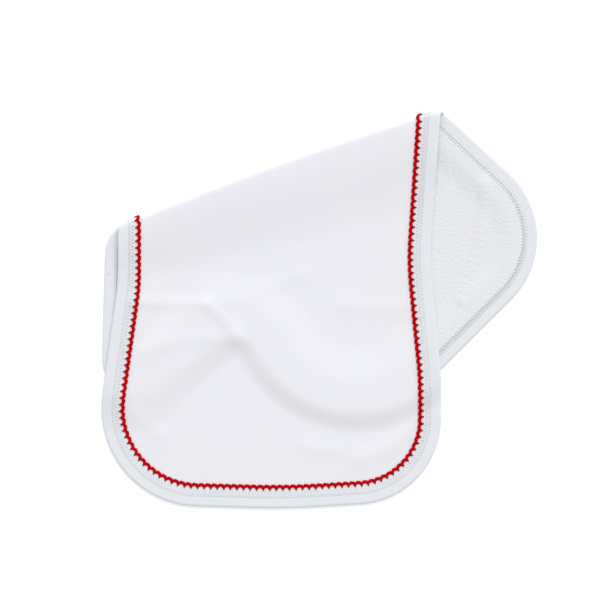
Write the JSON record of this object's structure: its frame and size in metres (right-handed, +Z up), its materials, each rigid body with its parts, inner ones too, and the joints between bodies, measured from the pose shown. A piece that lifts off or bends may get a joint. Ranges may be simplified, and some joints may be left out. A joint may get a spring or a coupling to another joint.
{
  "type": "burp cloth",
  "caption": "Fine white knit burp cloth, bound all round with red picot trim, folded once on a slant and lying flat.",
  "frame": {"origin": "centre of the bounding box, on the surface that the folded cloth lies on", "axes": "+Z up from that surface, +X to the right and +Y away along the surface, as the picture shows the cloth from above"},
  "size_m": [0.3308, 0.3014, 0.0108],
  "materials": {
    "panel_knit": "soft matte fine knit",
    "binding_knit": "matte fine knit with a little sheen",
    "trim_yarn": "twisted yarn, slight sheen"
  },
  "bodies": {
    "root": {"panel": "panel_knit", "binding": "binding_knit", "picot_trim": "trim_yarn"}
  },
  "joints": []
}
